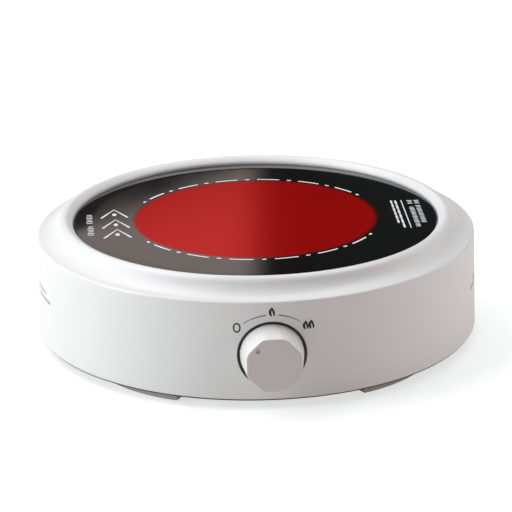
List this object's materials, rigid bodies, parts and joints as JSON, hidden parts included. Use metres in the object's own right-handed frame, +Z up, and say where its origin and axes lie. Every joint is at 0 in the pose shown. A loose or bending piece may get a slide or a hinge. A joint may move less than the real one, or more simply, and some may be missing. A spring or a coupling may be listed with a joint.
{
  "type": "hot plate burner",
  "caption": "Low round electric hot plate: white moulded drum with a raised lip around a black glass-ceramic disc, a faceted switch knob at the front, arc feet and a rear cord inlet.",
  "frame": {"origin": "on the drum's vertical axis, at the surface that the feet stand on", "axes": "+Z up through the glass, -Y towards the knob at the front, +Y towards the cord inlet at the back"},
  "size_m": [0.2176, 0.2438, 0.0605],
  "materials": {
    "white_shell": "satin moulded",
    "black_glass": "polished, screen printed",
    "white_knob": "satin moulded",
    "black_plastic": "fine texture",
    "grey_plastic": "fine texture",
    "rubber": "matt",
    "seal": "matt silicone",
    "steel": "zinc plated sheet",
    "aluminium": "mill finish",
    "insulation": "pressed mineral board",
    "ceramic": "glazed steatite",
    "heating_alloy": "oxidised strip",
    "brass": "plain",
    "cream_plastic": "moulded",
    "wire_brown": "sleeve",
    "wire_blue": "sleeve",
    "wire_green": "sleeve",
    "wire_red": "sleeve",
    "wire_black": "sleeve"
  },
  "bodies": {
    "stove": {"upper_housing": "white_shell", "glass_plate": "black_glass", "glass_seal": "seal", "base_cover": "grey_plastic", "base_screws": "steel", "feet": "grey_plastic", "foot_pads": "rubber", "heater_dish": "steel", "insulation_base": "insulation", "insulation_ring": "insulation", "heating_ribbon_outer": "heating_alloy", "heating_ribbon_inner": "heating_alloy", "limiter_rod": "steel", "limiter_head": "ceramic", "limiter_tabs": "brass", "heater_terminal_block": "ceramic", "heater_terminals": "brass", "support_bracket": "steel", "bracket_screws": "steel", "heat_shield": "aluminium", "shield_rivets": "aluminium", "support_springs": "steel", "thermal_fuse": "aluminium", "fuse_clip": "steel", "earth_stud": "brass", "earth_lug": "brass", "earth_nut": "brass", "knob_bezel": "black_plastic", "switch_bracket": "steel", "bracket_mount_screws": "steel", "switch_screws": "steel", "switch_cover": "cream_plastic", "switch_case": "cream_plastic", "switch_terminals": "brass", "switch_contacts": "brass", "mains_terminal_block": "cream_plastic", "terminal_screws": "brass", "gland_body": "black_plastic", "gland_seal": "rubber", "gland_cap": "black_plastic", "gland_locknut": "black_plastic", "wire_live": "wire_brown", "wire_neutral": "wire_blue", "wire_earth": "wire_green", "wire_low": "wire_red", "wire_high": "wire_black"},
    "dial": {"knob": "white_knob", "knob_clip": "steel", "switch_spindle": "steel", "switch_cam": "cream_plastic"}
  },
  "joints": [
    {"name": "knob_turn", "type": "hinge", "parent": "stove", "child": "dial", "pos_m": [0, -0.11, 0.0265], "axis": [0, 1, 0], "range_deg": [0, 90]}
  ]
}
